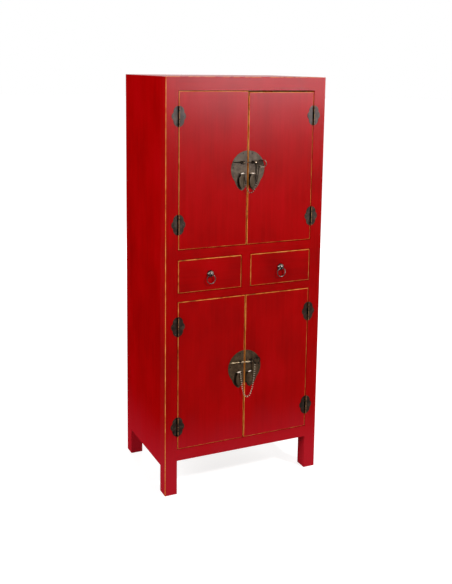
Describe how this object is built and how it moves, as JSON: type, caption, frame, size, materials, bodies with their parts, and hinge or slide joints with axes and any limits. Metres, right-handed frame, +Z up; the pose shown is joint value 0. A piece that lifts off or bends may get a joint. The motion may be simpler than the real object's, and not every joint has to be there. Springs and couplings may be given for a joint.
{
  "type": "two-tier cabinet",
  "caption": "Tall lacquered wooden cabinet with cupboards above and below a row of drawers, with round lock plates, leaf-shaped handles and latch pins on chains.",
  "frame": {"origin": "centre of the whole cabinet's outline on the floor, hardware included", "axes": "+X to the right as the front is seen, +Y from the front to the back, +Z up"},
  "size_m": [0.5, 0.359, 1.21],
  "materials": {
    "red_lacquered_wood": "glossy red lacquer with worn golden edges",
    "plain_inner_wood": "thin matt stain",
    "dark_bronze": "dark patina",
    "steel": "aged and rubbed"
  },
  "bodies": {
    "carcass": {"front_left_leg": "red_lacquered_wood", "back_left_leg": "red_lacquered_wood", "left_side_panel": "red_lacquered_wood", "front_right_leg": "red_lacquered_wood", "back_right_leg": "red_lacquered_wood", "right_side_panel": "red_lacquered_wood", "front_top_rail": "red_lacquered_wood", "front_middle_rails": "red_lacquered_wood", "front_bottom_rail": "red_lacquered_wood", "drawer_divider": "red_lacquered_wood", "back_rails": "red_lacquered_wood", "top_panel": "red_lacquered_wood", "back_panels": "plain_inner_wood", "upper_cupboard_floor": "plain_inner_wood", "lower_cupboard_ceiling": "plain_inner_wood", "lower_cupboard_floor": "plain_inner_wood", "shelves": "plain_inner_wood", "board_cleats": "plain_inner_wood", "drawer_guides": "plain_inner_wood", "hinge_frame_leaves": "dark_bronze", "hinge_pins": "dark_bronze", "hinge_frame_nails": "dark_bronze"},
    "upper_left_door": {"upper_left_door_board": "red_lacquered_wood", "upper_left_hinge_leaves": "dark_bronze", "upper_left_door_nails": "dark_bronze", "upper_left_lock_plate": "dark_bronze", "upper_left_staples": "dark_bronze", "upper_latch_chain": "dark_bronze"},
    "upper_left_handle": {"upper_left_pendant": "dark_bronze"},
    "upper_right_door": {"upper_right_door_board": "red_lacquered_wood", "upper_right_hinge_leaves": "dark_bronze", "upper_right_door_nails": "dark_bronze", "upper_right_lock_plate": "dark_bronze", "upper_right_staples": "dark_bronze"},
    "upper_right_handle": {"upper_right_pendant": "dark_bronze"},
    "upper_latch": {"upper_latch_pin": "steel"},
    "lower_left_door": {"lower_left_door_board": "red_lacquered_wood", "lower_left_hinge_leaves": "dark_bronze", "lower_left_door_nails": "dark_bronze", "lower_left_lock_plate": "dark_bronze", "lower_left_staples": "dark_bronze", "lower_latch_chain": "dark_bronze"},
    "lower_left_handle": {"lower_left_pendant": "dark_bronze"},
    "lower_right_door": {"lower_right_door_board": "red_lacquered_wood", "lower_right_hinge_leaves": "dark_bronze", "lower_right_door_nails": "dark_bronze", "lower_right_lock_plate": "dark_bronze", "lower_right_staples": "dark_bronze"},
    "lower_right_handle": {"lower_right_pendant": "dark_bronze"},
    "lower_latch": {"lower_latch_pin": "steel"},
    "left_drawer": {"left_drawer_front": "red_lacquered_wood", "left_drawer_box": "plain_inner_wood", "left_drawer_bottom": "plain_inner_wood", "left_pull_knob": "steel"},
    "left_ring": {"left_pull_ring": "steel"},
    "right_drawer": {"right_drawer_front": "red_lacquered_wood", "right_drawer_box": "plain_inner_wood", "right_drawer_bottom": "plain_inner_wood", "right_pull_knob": "steel"},
    "right_ring": {"right_pull_ring": "steel"}
  },
  "joints": [
    {"name": "upper_left_door_hinge", "type": "hinge", "parent": "carcass", "child": "upper_left_door", "pos_m": [-0.21215, -0.1681, 0.95], "axis": [0, 0, -1], "range_deg": [0, 165]},
    {"name": "upper_left_handle_swing", "type": "hinge", "parent": "upper_left_door", "child": "upper_left_handle", "pos_m": [-0.0196, -0.1713, 0.938], "axis": [-1, 0, 0], "range_deg": [-1, 100]},
    {"name": "upper_right_door_hinge", "type": "hinge", "parent": "carcass", "child": "upper_right_door", "pos_m": [0.21215, -0.1681, 0.95], "axis": [0, 0, 1], "range_deg": [0, 165]},
    {"name": "upper_right_handle_swing", "type": "hinge", "parent": "upper_right_door", "child": "upper_right_handle", "pos_m": [0.0134, -0.1713, 0.937], "axis": [-1, 0, 0], "range_deg": [-1, 100]},
    {"name": "upper_latch_pull", "type": "slide", "parent": "upper_left_door", "child": "upper_latch", "axis": [0.9992, 0, -0.0401], "range_m": [0, 0.075], "deforming": ["upper_latch_chain"]},
    {"name": "lower_left_door_hinge", "type": "hinge", "parent": "carcass", "child": "lower_left_door", "pos_m": [-0.21215, -0.1681, 0.3585], "axis": [0, 0, -1], "range_deg": [0, 165]},
    {"name": "lower_left_handle_swing", "type": "hinge", "parent": "lower_left_door", "child": "lower_left_handle", "pos_m": [-0.0202, -0.1713, 0.3475], "axis": [-1, 0, 0], "range_deg": [-1, 100]},
    {"name": "lower_right_door_hinge", "type": "hinge", "parent": "carcass", "child": "lower_right_door", "pos_m": [0.21215, -0.1681, 0.3585], "axis": [0, 0, 1], "range_deg": [0, 165]},
    {"name": "lower_right_handle_swing", "type": "hinge", "parent": "lower_right_door", "child": "lower_right_handle", "pos_m": [0.0144, -0.1713, 0.3461], "axis": [-1, 0, 0], "range_deg": [-1, 100]},
    {"name": "lower_latch_pull", "type": "slide", "parent": "lower_left_door", "child": "lower_latch", "axis": [0.9992, 0, -0.0401], "range_m": [0, 0.075], "deforming": ["lower_latch_chain"]},
    {"name": "left_drawer_slide", "type": "slide", "parent": "carcass", "child": "left_drawer", "axis": [0, -1, 0], "range_m": [0, 0.21]},
    {"name": "left_ring_swing", "type": "hinge", "parent": "left_drawer", "child": "left_ring", "pos_m": [-0.11325, -0.1725, 0.6513], "axis": [-1, 0, 0], "range_deg": [-8, 95]},
    {"name": "right_drawer_slide", "type": "slide", "parent": "carcass", "child": "right_drawer", "axis": [0, -1, 0], "range_m": [0, 0.21]},
    {"name": "right_ring_swing", "type": "hinge", "parent": "right_drawer", "child": "right_ring", "pos_m": [0.11325, -0.1725, 0.6513], "axis": [-1, 0, 0], "range_deg": [-8, 95]}
  ]
}
